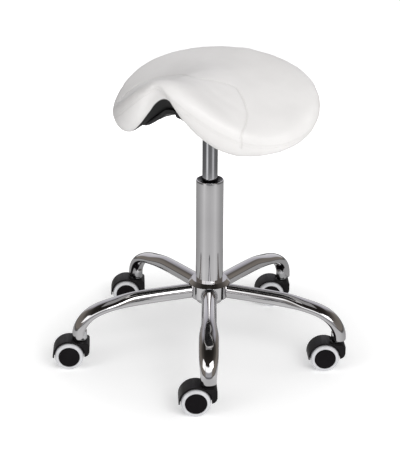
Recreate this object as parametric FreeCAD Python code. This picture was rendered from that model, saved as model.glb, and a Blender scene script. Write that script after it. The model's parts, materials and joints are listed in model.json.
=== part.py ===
import FreeCAD, Part
import math
import os

# Saddle stool on a five-leg chrome base with twin-wheel casters.
# Millimetres, +Z up. The origin is where the column axis meets the floor.
# The rider faces -Y; the base stands turned under the seat, as in use.

# Base star
base_turn = 33.0            # turn of the base under the seat, degrees
leg_count = 5
stem_circle_r = 243.8       # column axis to caster stem
hub_top_z = 143.0
hub_bottom_z = 109.0
hub_r = 37.0
hub_chamfer = 6.0

# Legs: round tube, pressed flat towards the end, cut open to a trough over the caster
leg_tube_d = 27.0
leg_wall = 2.0
leg_flat_width = 35.0
leg_flat_height = 19.0
leg_end_width = 28.0
leg_end_depth = 23.0
leg_start_z = 121.0         # centre of the leg where it leaves the hub
leg_run_z = 112.5           # centre of the leg where the bend starts
leg_round_until_r = 146.0
leg_flat_from_r = 184.0
leg_bend_r = 48.0           # centre line radius of the downward bend
leg_bend_steps = 6
leg_end_z = 57.5
leg_axis_past_stem = 3.0    # the bend's end stands this far outside the stem
trough_opens_at_r = 209.0
trough_lip = 11.0           # depth of the trough left at its lower end

# Caster stem and socket
socket_r = 10.5
socket_height = 17.0
socket_bottom_z = 55.0
stem_r = 5.5
stem_tip_z = 84.0
stem_tip_flat_r = 1.2
stem_flange_r = 9.0
stem_flange_thick = 2.4
stem_pin_r = 3.6
stem_pin_bottom_z = 38.0
running_gap = 0.05          # radial clearance of everything that turns or slides
rest_gap = 0.3              # axial clearance between parts that turn on each other

# Caster hood and wheels
wheel_r = 26.0
wheel_edge_r = 24.4
wheel_outer_y = 22.3        # outer face of a wheel from the caster's middle
wheel_inner_y = 5.3
cap_r = 19.1
rim_r = 21.6
tread_side_y = 17.5
cap_dome = 0.9
cap_flat_r = 2.0
trail = 22.35               # stem axis to axle
trail_turn = 3.1            # the casters trail together, degrees off the crosswise axis
hood_r = 30.0
hood_wheel_gap = 1.6
hood_half_width = 19.5
hood_web_half = 4.9
hood_top_z = 51.8
hood_front_x = 14.6         # stem axis to the hood's front face
hood_edge_round = 1.6
axle_r = 3.0
axle_boss_r = 8.5
axle_end_gap = 1.0

# Gas lift
column_r = 25.0
column_wall = 2.0
column_top_z = 336.0
column_bottom_z = 98.0
column_floor = 4.0
column_taper_r = 23.6       # radius at the bottom of the tapered seat in the hub
bush_length = 82.0
bush_dish = 3.5
cylinder_r = 14.0
cylinder_wall = 2.0
cylinder_bottom_z = 206.0
cylinder_taper_start_z = 409.0
cylinder_top_z = 445.0
cylinder_top_r = 13.4
rod_r = 5.0
rod_bottom_z = 88.5
piston_length = 14.0
piston_z = 316.0
guide_length = 18.0
valve_length = 26.0
button_r = 3.4
button_height = 6.0
race_r = 15.0
race_thick = 3.0
ball_r = 2.5
ball_circle_r = 10.5
ball_count = 12
bump_r = 12.5
bump_height = 16.0
clip_r = 9.0
clip_thick = 1.6

# Seat pad: its crosswise sections, with values from the front edge to the rear edge
seat_half_width = 190.0
seat_half_length = 149.5
seat_centre_y = -11.5
seat_egg = 0.27             # the seat is wider at the rear than at the front
plan_power_front = 2.15
plan_power_rear = 1.9
ridge_heights = (538.0, 515.0, 512.0, 516.5, 530.5)
ridge_radii = (34.0, 110.0, 140.0)
flank_slopes = (40.0, 30.0, 20.0, 10.0, 7.5)
flank_bulges = (3.0, 1.6, 2.2)
pad_thicknesses = (54.0, 48.0, 58.0)
pad_edge_power = 10.0
pad_roll = 2.0              # how far the rolled edge stands past the plan outline
cover_thick = 1.5
soft_gap = 0.3
cover_opening = 0.6         # the cover is open below over this share of its plan

# Seat shell under the pad, with four bosses down to the steel bracket
shell_thick = 5.5
shell_share = 0.76          # the shell covers this share of the pad's width and length
shell_pad_gap = 0.6
shell_boss_r = 10.5
lining_thick = 0.8
plate_x = 94.0
plate_y = 112.0
plate_thick = 3.0
plate_top_z = 462.0
plate_corner = 24.0
bolt_spacing_x = 64.0
bolt_spacing_y = 78.0
bolt_r = 3.0
bolt_gap = 0.3
bolt_head_r = 5.8
bolt_head_height = 4.0
bolt_bite = 12.0            # length of bolt in its shell boss
taper_boss_r = 18.5
taper_boss_bottom_z = 426.0
cheek_thick = 2.5
cheek_front_x = -42.0
cheek_rear_x = 24.0
cheek_low_z = 434.0

# Height lever on the rider's right
lever_turn = -8.0           # the lever points this much backwards, degrees
lever_r = 4.0
lever_blade_thick = 4.0
lever_blade_width = 12.0
lever_pivot_x = -34.0
lever_inner_x = 6.0
lever_bend_x = -54.0
lever_end_x = -165.0
lever_end_drop = 42.0
lever_pin_r = 2.0
lever_lug_r = 4.2
grip_r = 7.5
grip_length = 52.0


def vec(x, y, z):
    return FreeCAD.Vector(x, y, z)


Z_AXIS = vec(0, 0, 1)
ORIGIN = vec(0, 0, 0)


def turned(shape, degrees, about=ORIGIN, axis=Z_AXIS):
    copy = shape.copy()
    copy.rotate(about, axis, degrees)
    return copy


def moved(shape, offset):
    copy = shape.copy()
    copy.translate(offset)
    return copy


def revolve(points, axis=Z_AXIS):
    """Turn a closed outline of (radius, height) points about the Z axis."""
    corners = [vec(r, 0, z) for r, z in points]
    face = Part.Face(Part.makePolygon(corners + corners[:1]))
    return face.revolve(ORIGIN, axis, 360)


def tube(outer, inner, bottom, top):
    return revolve([(inner, bottom), (outer, bottom), (outer, top), (inner, top)])


def cylinder(radius, bottom, top, x=0.0, y=0.0):
    return Part.makeCylinder(radius, top - bottom, vec(x, y, bottom), Z_AXIS)


def smooth(t):
    t = min(max(t, 0.0), 1.0)
    return t * t * (3 - 2 * t)


def blend(a, b, t):
    return a + (b - a) * t


# Base hub and column

def column_r_at(z):
    """Outer radius of the column: straight, then a taper seated in the hub."""
    if z >= hub_top_z:
        return column_r
    return blend(column_taper_r, column_r, (z - column_bottom_z) / (hub_top_z - column_bottom_z))


def make_hub():
    fit = running_gap / 2
    body = revolve([
        (column_r_at(hub_bottom_z) + fit, hub_bottom_z),
        (hub_r - hub_chamfer / 2, hub_bottom_z),
        (hub_r, hub_bottom_z + hub_chamfer / 2),
        (hub_r, hub_top_z - hub_chamfer),
        (hub_r - hub_chamfer, hub_top_z),
        (column_r_at(hub_top_z) + fit, hub_top_z)])
    return body


def make_column():
    inner = column_r - column_wall
    inner_low = column_taper_r - column_wall
    return revolve([
        (rod_r + 1.0, column_bottom_z),
        (column_taper_r, column_bottom_z),
        (column_r, hub_top_z),
        (column_r, column_top_z - 0.6),
        (column_r - 0.6, column_top_z),
        (inner, column_top_z),
        (inner, hub_top_z),
        (inner_low, column_bottom_z + column_floor),
        (rod_r + 1.0, column_bottom_z + column_floor)])


def make_bush():
    outer = column_r - column_wall
    bore = cylinder_r + running_gap
    top = column_top_z - 0.8
    return revolve([
        (bore, top - bush_length),
        (outer - running_gap / 2, top - bush_length),
        (outer - running_gap / 2, top),
        (outer - 1.6, top),
        (bore + 1.2, top - bush_dish),
        (bore, top - bush_dish - 1.2)])


# Legs

def leg_point(distance):
    """Centre of the leg and its direction (radius, height) after this distance from the hub."""
    bend_centre_r = stem_circle_r + leg_axis_past_stem - leg_bend_r
    run = bend_centre_r - hub_r
    slope = (leg_run_z - leg_start_z) / run
    if distance <= run:
        return (hub_r + distance, leg_start_z + slope * distance), (1.0, slope)
    angle = (distance - run) / leg_bend_r
    if angle <= math.pi / 2:
        r = bend_centre_r + leg_bend_r * math.sin(angle)
        z = leg_run_z - leg_bend_r * (1 - math.cos(angle))
        return (r, z), (math.cos(angle), -math.sin(angle))
    down = distance - run - leg_bend_r * math.pi / 2
    return (bend_centre_r + leg_bend_r, leg_run_z - leg_bend_r - down), (0.0, -1.0)


def leg_size(r, distance):
    """Width, height and squareness of the tube at this radius."""
    flat = smooth((r - leg_round_until_r) / (leg_flat_from_r - leg_round_until_r))
    width = blend(leg_tube_d, leg_flat_width, flat)
    height = blend(leg_tube_d, leg_flat_height, flat)
    bend_centre_r = stem_circle_r + leg_axis_past_stem - leg_bend_r
    end = smooth((distance - (bend_centre_r - hub_r)) / (leg_bend_r * math.pi / 2))
    width = blend(width, leg_end_width, end)
    height = blend(height, leg_end_depth, end)
    return width, height, blend(2.0, 2.5, flat)


def leg_section(distance, inset):
    """Closed smooth outline across the leg, as a rounded oval."""
    (r, z), (dr, dz) = leg_point(distance)
    length = math.hypot(dr, dz)
    up_r, up_z = -dz / length, dr / length
    width, height, power = leg_size(r, distance)
    points = []
    for i in range(8):
        a = 2 * math.pi * i / 8
        side = math.copysign(abs(math.cos(a)) ** (2 / power), math.cos(a)) * (width / 2 - inset)
        up = math.copysign(abs(math.sin(a)) ** (2 / power), math.sin(a)) * (height / 2 - inset)
        points.append(vec(r + up_r * up, side, z + up_z * up))
    if r <= leg_round_until_r:
        return Part.Wire(Part.Circle(points[0], points[2], points[4]).toShape())
    curve = Part.BSplineCurve()
    curve.interpolate(Points=points, PeriodicFlag=True)
    return Part.Wire(curve.toShape())


def leg_solid(inset, start, extra):
    """Solid bar along the leg, between a start distance and the lower end plus an extra length."""
    bend_centre_r = stem_circle_r + leg_axis_past_stem - leg_bend_r
    run = bend_centre_r - hub_r
    bend = leg_bend_r * math.pi / 2
    flat_start = leg_round_until_r - hub_r
    flat_full = leg_flat_from_r - hub_r
    places = [start, flat_start]
    places += [blend(flat_start, flat_full, k / 3) for k in range(1, 4)]
    places += [run + bend * k / leg_bend_steps for k in range(leg_bend_steps + 1)]
    places += [run + bend + (leg_run_z - leg_bend_r - leg_end_z) + extra]
    return Part.makeLoft([leg_section(s, inset) for s in places], True, True)


def make_leg():
    """One leg along +X: hollow tube with its end cut open to a trough."""
    outer = leg_solid(0.0, -6.0, 0.0)
    inner = leg_solid(leg_wall, -8.0, 4.0)
    leg = outer.cut(inner)
    leg = leg.cut(cylinder(hub_r, 0, hub_top_z + 50))
    # The underside is cut away along a straight line, from the run to the lip at the end
    open_r = stem_circle_r + leg_axis_past_stem + leg_end_depth / 2 - trough_lip
    low = vec(open_r, 0, leg_end_z)
    high = vec(trough_opens_at_r, 0, leg_run_z - leg_flat_height / 2)
    along = (low - high).normalize()
    width = vec(0, leg_flat_width, 0)
    a = high - along * 2
    b = low + along * 30
    away = vec(along.z, 0, -along.x) * 60
    if away.x > 0:
        away = away * -1
    corners = [a - width, b - width, b - width + away, a - width + away]
    cutter = Part.Face(Part.makePolygon(corners + corners[:1])).extrude(width * 2)
    seat = cylinder(socket_r, socket_bottom_z - 5, socket_bottom_z + socket_height, stem_circle_r)
    return leg.cut(cutter).cut(seat)


def make_socket():
    """Steel socket welded in the trough, bored for the caster stem."""
    bore = stem_r + running_gap / 2
    top = socket_bottom_z + socket_height
    return revolve([
        (bore, socket_bottom_z),
        (socket_r - 0.8, socket_bottom_z),
        (socket_r, socket_bottom_z + 0.8),
        (socket_r, top - 0.8),
        (socket_r - 0.8, top),
        (bore, top)])


def at_leg(shape, index):
    """Put a piece made along +X on the leg with this number."""
    return turned(shape, -90 + base_turn + index * 360 / leg_count)


# Casters, made in the caster's own frame: stem axis at the origin, axle along Y, trailing to -X

def make_stem():
    top = socket_bottom_z
    neck = stem_r - 1.2
    return revolve([
        (0, stem_pin_bottom_z),
        (stem_pin_r, stem_pin_bottom_z),
        (stem_pin_r, top - stem_flange_thick),
        (stem_flange_r, top - stem_flange_thick),
        (stem_flange_r, top - 0.05),
        (stem_r, top - 0.05),
        (stem_r, top + socket_height + 1.5),
        (neck, top + socket_height + 3.0),
        (neck, stem_tip_z - 5.0),
        (stem_r - 0.6, stem_tip_z - 4.0),
        (stem_r - 0.8, stem_tip_z - 2.0),
        (stem_r - 2.8, stem_tip_z - 0.4),
        (stem_tip_flat_r, stem_tip_z),
        (0, stem_tip_z)])


def arc_edge(centre, radius, start, middle, end):
    """Arc in the XZ plane about centre, by angles in degrees."""
    def at(angle):
        a = math.radians(angle)
        return vec(centre.x + radius * math.cos(a), centre.y, centre.z + radius * math.sin(a))
    return Part.Arc(at(start), at(middle), at(end)).toShape(), at(start), at(end)


def make_hood():
    centre = vec(-trail, 0, wheel_r)
    # Outline: back tip, over the wheels, stem top, front face, chin, round the axle boss
    top_angle = math.degrees(math.asin((hood_top_z - wheel_r) / hood_r))
    arc, back, blend_point = arc_edge(centre, hood_r, 184, 120, top_angle)
    corner = 5.0
    p1 = vec(hood_front_x - corner, 0, hood_top_z)
    p1m = vec(hood_front_x - corner * 0.293, 0, hood_top_z - corner * 0.293)
    p2 = vec(hood_front_x, 0, hood_top_z - corner)
    p3 = vec(hood_front_x, 0, wheel_r + 9.0)
    p3m = vec(hood_front_x - 3.2, 0, wheel_r + 1.8)
    p4 = vec(hood_front_x - 10.0, 0, wheel_r - 1.5)
    boss, boss_start, boss_end = arc_edge(centre, axle_boss_r, -60, -100, -140)
    edges = [
        arc,
        Part.makeLine(blend_point, p1),
        Part.Arc(p1, p1m, p2).toShape(),
        Part.makeLine(p2, p3),
        Part.Arc(p3, p3m, p4).toShape(),
        Part.makeLine(p4, boss_start),
        boss,
        Part.makeLine(boss_end, back)]
    face = Part.Face(Part.Wire(edges))
    body = moved(face, vec(0, -hood_half_width, 0)).extrude(vec(0, hood_half_width * 2, 0))
    body = body.makeFillet(hood_edge_round, [e for e in body.Edges if is_side_edge(e)])
    pocket_r = wheel_r + hood_wheel_gap
    for side in (-1, 1):
        pocket = Part.makeCylinder(pocket_r, hood_half_width + 5, vec(-trail, side * hood_web_half, wheel_r),
                                   vec(0, side, 0))
        skirt = Part.makeBox(2 * hood_r + 2, hood_half_width + 5, wheel_r)
        skirt.translate(vec(-trail - hood_r - 1, hood_web_half if side > 0 else -hood_web_half - hood_half_width - 5,
                            -2.5))
        skirt = skirt.cut(Part.makeBox(60, 100, 60, vec(pocket_r - trail - 0.5, -50, -10)))
        body = body.cut(pocket).cut(skirt)
    body = body.cut(cylinder(stem_pin_r + running_gap, stem_pin_bottom_z - 1.0, hood_top_z + 10))
    body = body.cut(cylinder(socket_r + 2.0, hood_top_z, hood_top_z + 12))
    axle_bore = Part.makeCylinder(axle_r + 0.01, 60, vec(-trail, -30, wheel_r), vec(0, 1, 0))
    return body.cut(axle_bore)


def is_side_edge(edge):
    """True for the outline edges of the hood's two sides."""
    ys = [v.Y for v in edge.Vertexes]
    return all(abs(abs(y) - hood_half_width) < 0.01 for y in ys) and abs(ys[0] - ys[-1]) < 0.01


def make_axle():
    half = wheel_outer_y - axle_end_gap - 3.0
    return Part.makeCylinder(axle_r, half * 2, vec(-trail, -half, wheel_r), vec(0, 1, 0))


def on_axle(shape, side):
    """A wheel piece made about Z, outward along +Z, put on the axle on one side."""
    if side > 0:
        laid = turned(shape, -90, ORIGIN, vec(1, 0, 0))
    else:
        laid = turned(shape, 90, ORIGIN, vec(1, 0, 0))
    return moved(laid, vec(-trail, 0, wheel_r))


def make_wheel_core():
    bore = axle_r + running_gap
    depth = wheel_outer_y - 3.0
    return revolve([
        (bore, wheel_inner_y),
        (8.0, wheel_inner_y),
        (8.0, wheel_inner_y + 3.0),
        (rim_r - 3.5, wheel_inner_y + 3.0),
        (rim_r - 3.5, wheel_inner_y),
        (rim_r, wheel_inner_y),
        (rim_r, tread_side_y),
        (cap_r, tread_side_y),
        (cap_r, wheel_outer_y - 1.4),
        (cap_r - 1.2, wheel_outer_y - cap_dome * 0.5),
        (cap_r * 0.55, wheel_outer_y - 0.1),
        (cap_flat_r, wheel_outer_y),
        (0, wheel_outer_y),
        (0, depth),
        (bore, depth)])


def make_wheel_tread():
    return revolve([
        (rim_r + 0.02, wheel_inner_y),
        (wheel_edge_r, wheel_inner_y),
        (wheel_r - 0.5, wheel_inner_y + 2.2),
        (wheel_r, wheel_inner_y + 5.0),
        (wheel_r, tread_side_y - 1.6),
        (wheel_r - 0.6, tread_side_y + 1.4),
        (wheel_edge_r, wheel_outer_y - 1.5),
        (wheel_edge_r - 1.0, wheel_outer_y - 0.9),
        (cap_r + 0.9, wheel_outer_y - 0.9),
        (cap_r + 0.02, wheel_outer_y - 1.6),
        (cap_r + 0.02, tread_side_y + 0.02),
        (rim_r + 0.02, tread_side_y + 0.02)])


def at_caster(shape, index):
    """Put a piece from the caster's own frame at the end of one leg, all trailing alike."""
    laid = turned(shape, trail_turn + base_turn)
    a = math.radians(-90 + base_turn + index * 360 / leg_count)
    return moved(laid, vec(stem_circle_r * math.cos(a), stem_circle_r * math.sin(a), 0))


# Gas spring

def make_gas_cylinder():
    inner = cylinder_r - cylinder_wall
    return revolve([
        (inner, cylinder_bottom_z),
        (cylinder_r - 0.8, cylinder_bottom_z),
        (cylinder_r, cylinder_bottom_z + 0.8),
        (cylinder_r, cylinder_taper_start_z),
        (cylinder_top_r, cylinder_top_z - 1.0),
        (cylinder_top_r - 1.0, cylinder_top_z),
        (inner - 2.0, cylinder_top_z),
        (inner - 2.0, cylinder_top_z - 2.0),
        (inner, cylinder_top_z - 2.0)])


def make_rod_guide():
    top = cylinder_bottom_z + guide_length
    return tube(cylinder_r - cylinder_wall - 0.02, rod_r + running_gap, cylinder_bottom_z + 1.0, top)


def make_valve_body():
    top = cylinder_top_z - 2.0
    return tube(cylinder_r - cylinder_wall - 0.02, button_r + running_gap, top - valve_length, top - 0.02)


def make_valve_button():
    top = cylinder_top_z + button_height
    low = cylinder_top_z - valve_length * 0.6
    return revolve([
        (0, low),
        (button_r, low),
        (button_r, top - 1.8),
        (button_r - 1.2, top - 0.6),
        (0.6, top),
        (0, top)])


def make_piston_rod():
    piston_r = cylinder_r - cylinder_wall - running_gap
    groove = rod_bottom_z + 5.0
    return revolve([
        (0, rod_bottom_z),
        (rod_r - 0.5, rod_bottom_z),
        (rod_r, rod_bottom_z + 0.5),
        (rod_r, groove - clip_thick / 2 - 0.1),
        (rod_r - 1.0, groove - clip_thick / 2 - 0.1),
        (rod_r - 1.0, groove + clip_thick / 2 + 0.1),
        (rod_r, groove + clip_thick / 2 + 0.1),
        (rod_r, piston_z),
        (piston_r, piston_z),
        (piston_r, piston_z + piston_length),
        (0, piston_z + piston_length)])


def make_rod_clip():
    """Spring clip in the rod's groove, open on one side."""
    middle = rod_bottom_z + 5.0
    ring = tube(clip_r, rod_r - 0.95, middle - clip_thick / 2, middle + clip_thick / 2)
    slot = Part.makeBox(clip_r + 2, 5.0, clip_thick + 2, vec(0, -2.5, middle - clip_thick / 2 - 1))
    return ring.cut(slot)


def race(bottom, groove_up):
    ring = tube(race_r, rod_r + 0.6, bottom, bottom + race_thick)
    level = bottom + race_thick + ball_r - 0.8 if groove_up else bottom - ball_r + 0.8
    return ring.cut(Part.makeTorus(ball_circle_r, ball_r + 0.03, vec(0, 0, level), Z_AXIS))


def ball_level():
    return column_bottom_z + column_floor + race_thick + ball_r - 0.8


def make_balls():
    balls = []
    for i in range(ball_count):
        a = 2 * math.pi * i / ball_count
        place = vec(ball_circle_r * math.cos(a), ball_circle_r * math.sin(a), ball_level())
        balls.append(Part.makeSphere(ball_r, place))
    return Part.makeCompound(balls)


def make_bump_stop():
    bottom = ball_level() + ball_r - 0.8 + race_thick
    waist = bump_r - 2.5
    return revolve([
        (rod_r + running_gap, bottom),
        (bump_r, bottom),
        (bump_r, bottom + bump_height * 0.35),
        (waist, bottom + bump_height * 0.5),
        (bump_r - 0.8, bottom + bump_height * 0.65),
        (bump_r - 1.5, bottom + bump_height),
        (rod_r + running_gap, bottom + bump_height)])


# Seat pad

def along(values, y):
    """Smooth value at y through values spaced evenly from the seat's front to its rear."""
    last = len(values) - 1
    share = ((y - seat_centre_y) / seat_half_length + 1) / 2
    place = min(max(share, 0.0), 1.0) * last
    i = min(int(place), last - 1)
    f = place - i
    a, b = values[i], values[i + 1]
    before = values[i - 1] if i > 0 else 2 * a - b
    after = values[i + 2] if i + 2 <= last else 2 * b - a
    curve = (2 * before - 5 * a + 4 * b - after) * f ** 2 + (3 * a - before - 3 * b + after) * f ** 3
    return a + ((b - before) * f + curve) / 2


def plan_half_width(s):
    """Half width of the pad at s, from -1 at the front edge to 1 at the rear edge."""
    power = plan_power_front if s < 0 else plan_power_rear
    return seat_half_width * (1 + seat_egg * s) * (1 - abs(s) ** power) ** (1 / power)


def saddle_section(y, half_width, low, high):
    """Arch across the seat between two offsets from the middle surface, with rounded ends."""
    slope = math.radians(along(flank_slopes, y))
    radius = max(along(ridge_radii, y), pad_thicknesses[0] / 2 + 8)
    centre = vec(0, y, along(ridge_heights, y) - radius)
    if half_width < radius * math.sin(slope) * 1.05:
        slope = math.asin(half_width / 1.05 / radius)
    reach = max((half_width - radius * math.sin(slope)) / math.cos(slope), 0.5)
    bulge = along(flank_bulges, y) * min(reach / 100, 1)
    middle = (low + high) / 2
    round_off = (high - low) / 2

    def on_arc(angle, offset):
        return centre + vec(math.sin(angle), 0, math.cos(angle)) * (radius + offset)

    def side_edges(side):
        """Upper flank, rounded end and lower flank of one side, from the ridge outwards."""
        out = vec(side * math.cos(slope), 0, -math.sin(slope))
        normal = vec(side * math.sin(slope), 0, math.cos(slope))
        upper, lower = on_arc(side * slope, high), on_arc(side * slope, low)
        swell = out * (reach / 2) + normal * bulge
        heart = on_arc(side * slope, middle) + out * reach
        tip = heart + out * round_off
        diagonal = round_off * math.sqrt(0.5)
        return [
            Part.Arc(upper, upper + swell, upper + out * reach).toShape(),
            Part.Arc(upper + out * reach, heart + (out + normal) * diagonal, tip).toShape(),
            Part.Arc(tip, heart + (out - normal) * diagonal, lower + out * reach).toShape(),
            Part.Arc(lower + out * reach, lower + swell, lower).toShape()]

    ridge = Part.Arc(on_arc(-slope, high), on_arc(0, high), on_arc(slope, high)).toShape()
    valley = Part.Arc(on_arc(slope, low), on_arc(0, low), on_arc(-slope, low)).toShape()
    return Part.Wire([ridge] + side_edges(1) + [valley] + side_edges(-1)[::-1])


def stations(count, reach):
    """Shares of the length from -reach to reach, closer together towards the ends."""
    return [reach * math.sin(math.pi / 2 * k / count) for k in range(-count, count + 1)]


def pad_solid(inset):
    sections = []
    for s in stations(8, 0.995):
        y = seat_centre_y + s * (seat_half_length - inset)
        full = along(pad_thicknesses, y)
        thick = max(full * math.sqrt(1 - abs(s) ** pad_edge_power) - 2 * inset, 2.0)
        half = max(plan_half_width(s) - thick / 2 + pad_roll - inset * 0.5, 6.0)
        sections.append(saddle_section(y, half, -thick / 2, thick / 2))
    return Part.makeLoft(sections, True, True)


def band_solid(share, low, high):
    """A moulded sheet that follows the pad's underside, between two distances below it."""
    sections = []
    for s in stations(6, 0.97):
        y = seat_centre_y + s * seat_half_length * share
        under = -along(pad_thicknesses, y) / 2
        sections.append(saddle_section(y, plan_half_width(s) * share, under - high, under - low))
    return Part.makeLoft(sections, True, True)


def make_cover():
    """Leather skin of the pad, open underneath where the foam sits on the shell."""
    skin = pad_solid(0.0).cut(pad_solid(cover_thick))
    return skin.cut(band_solid(cover_opening, -8.0, 8.0))


def make_foam():
    return pad_solid(cover_thick + soft_gap)


def bolt_places():
    return [(x, y) for x in (-bolt_spacing_x / 2, bolt_spacing_x / 2)
            for y in (-bolt_spacing_y / 2, bolt_spacing_y / 2)]


def make_shell():
    """Moulded shell with four bosses whose flat ends stand on the plate."""
    low = shell_pad_gap + shell_thick
    shell = band_solid(shell_share, shell_pad_gap, low)
    trim = band_solid(shell_share, -40, shell_pad_gap + shell_thick / 2)
    for x, y in bolt_places():
        boss = cylinder(shell_boss_r, plate_top_z, max(ridge_heights), x, y).cut(trim)
        shell = shell.fuse(min(boss.Solids, key=lambda solid: solid.BoundBox.ZMin))
    for x, y in bolt_places():
        shell = shell.cut(cylinder(bolt_r, plate_top_z - 1, plate_top_z + bolt_bite, x, y))
    return shell


def make_lining():
    high = shell_pad_gap + shell_thick + soft_gap
    lining = band_solid(shell_share * 0.97, high, high + lining_thick)
    for x, y in bolt_places():
        lining = lining.cut(cylinder(shell_boss_r + soft_gap, plate_top_z - 1, max(ridge_heights), x, y))
    return lining


# Steel bracket under the seat, and the height lever in it

def block(size_x, size_y, bottom, top, x=0.0, y=0.0):
    return Part.makeBox(size_x, size_y, top - bottom, vec(x - size_x / 2, y - size_y / 2, bottom))


def lever_z():
    """Height of the lever's pivot: the blade lies just over the valve button."""
    return cylinder_top_z + button_height + rest_gap + lever_blade_thick / 2


def make_cheek(side):
    """Upright steel cheek beside the lever, cut away below towards its front end."""
    under = plate_top_z - plate_thick
    inner = lever_blade_width / 2 + rest_gap
    y = inner if side > 0 else -inner - cheek_thick
    corners = [
        vec(cheek_front_x, y, under),
        vec(cheek_front_x, y, lever_z() - 6.0),
        vec(-taper_boss_r, y, cheek_low_z),
        vec(cheek_rear_x, y, cheek_low_z + 8.0),
        vec(cheek_rear_x, y, under)]
    return Part.Face(Part.makePolygon(corners + corners[:1])).extrude(vec(0, cheek_thick, 0))


def make_bracket():
    """Plate with a welded taper boss for the gas lift and two cheeks for the lever."""
    under = plate_top_z - plate_thick
    boss_top = cylinder_top_z + 2.0
    fit = running_gap / 2
    plate = block(plate_x, plate_y, under, plate_top_z)
    upright = [e for e in plate.Edges if abs(e.Vertexes[0].Z - e.Vertexes[-1].Z) > plate_thick / 2]
    plate = plate.makeFillet(plate_corner, upright)
    boss = cylinder(taper_boss_r, taper_boss_bottom_z, boss_top)
    cheeks = [turned(make_cheek(side), lever_turn) for side in (-1, 1)]
    body = plate.fuse([boss] + cheeks)
    bore = revolve([
        (0, taper_boss_bottom_z - 1),
        (cylinder_r_at(taper_boss_bottom_z - 1) + fit, taper_boss_bottom_z - 1),
        (cylinder_top_r + fit, cylinder_top_z - 1.0),
        (cylinder_top_r + fit, boss_top),
        (0, boss_top)])
    body = body.cut(bore).cut(lever_pin_shape(lever_pin_r + fit))
    for x, y in bolt_places():
        body = body.cut(cylinder(bolt_r + bolt_gap, under - 1, plate_top_z + 1, x, y))
    return body


def cylinder_r_at(z):
    """Outer radius of the gas cylinder in its tapered upper end."""
    share = (z - cylinder_taper_start_z) / (cylinder_top_z - 1.0 - cylinder_taper_start_z)
    return blend(cylinder_r, cylinder_top_r, share)


def lever_pin_shape(radius):
    half = lever_blade_width / 2 + rest_gap + cheek_thick + 1.0
    pin = Part.makeCylinder(radius, half * 2, vec(lever_pivot_x, -half, lever_z()), vec(0, 1, 0))
    return turned(pin, lever_turn)


def lever_knee():
    return vec(lever_bend_x - 4.0, 0, lever_z())


def lever_end():
    return vec(lever_end_x, 0, lever_z() - lever_end_drop)


def round_bar(points, radius):
    """Round bar along straight runs, with a ball at each inner corner."""
    runs = [Part.makeCylinder(radius, (b - a).Length, a, b - a) for a, b in zip(points, points[1:])]
    balls = [Part.makeSphere(radius, b, b - a) for a, b in zip(points, points[1:-1])]
    return runs[0].fuse(runs[1:] + balls)


def make_lever():
    """Flat blade over the valve button, then a round rod that slopes down under the flank."""
    z = lever_z()
    blade = Part.makeBox(lever_inner_x - lever_bend_x, lever_blade_width, lever_blade_thick,
                         vec(lever_bend_x, -lever_blade_width / 2, z - lever_blade_thick / 2))
    lug = Part.makeCylinder(lever_lug_r, lever_blade_width,
                            vec(lever_pivot_x, -lever_blade_width / 2, z), vec(0, 1, 0))
    rod = round_bar([vec(lever_bend_x + 7.0, 0, z), lever_knee(), lever_end()], lever_r)
    lever = turned(blade.fuse([lug, rod]), lever_turn)
    return lever.cut(lever_pin_shape(lever_pin_r + running_gap))


def make_grip():
    """Moulded grip over the end of the lever, a little thicker towards its rounded tip."""
    along = (lever_end() - lever_knee()).normalize()
    tip = lever_end() + along * 4.0
    start = tip - along * grip_length
    swell = grip_length * 0.35
    body = Part.makeCone(grip_r - 1.5, grip_r, swell, start, along)
    rest = Part.makeCylinder(grip_r, grip_length - swell, start + along * swell, along)
    tip_edges = [e for e in rest.Edges if (e.BoundBox.Center - tip).Length < 0.5]
    body = body.fuse(rest.makeFillet(2.5, tip_edges))
    hole = Part.makeCylinder(lever_r + 0.01, (lever_end() - start).Length, start, along)
    return turned(body.cut(hole), lever_turn)


def make_bolts():
    """Four hexagon-head bolts up through the plate into the shell's bosses."""
    bolts = []
    under = plate_top_z - plate_thick
    for x, y in bolt_places():
        corners = [vec(x + bolt_head_r * math.cos(math.radians(60 * k)),
                       y + bolt_head_r * math.sin(math.radians(60 * k)),
                       under - bolt_head_height) for k in range(6)]
        head = Part.Face(Part.makePolygon(corners + corners[:1])).extrude(vec(0, 0, bolt_head_height))
        shank = cylinder(bolt_r - 0.02, under - 1, plate_top_z + bolt_bite - 0.5, x, y)
        bolts.append(head.fuse(shank))
    return Part.makeCompound(bolts)


NODES = {}


def keep(name, shape):
    NODES[name] = shape


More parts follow.
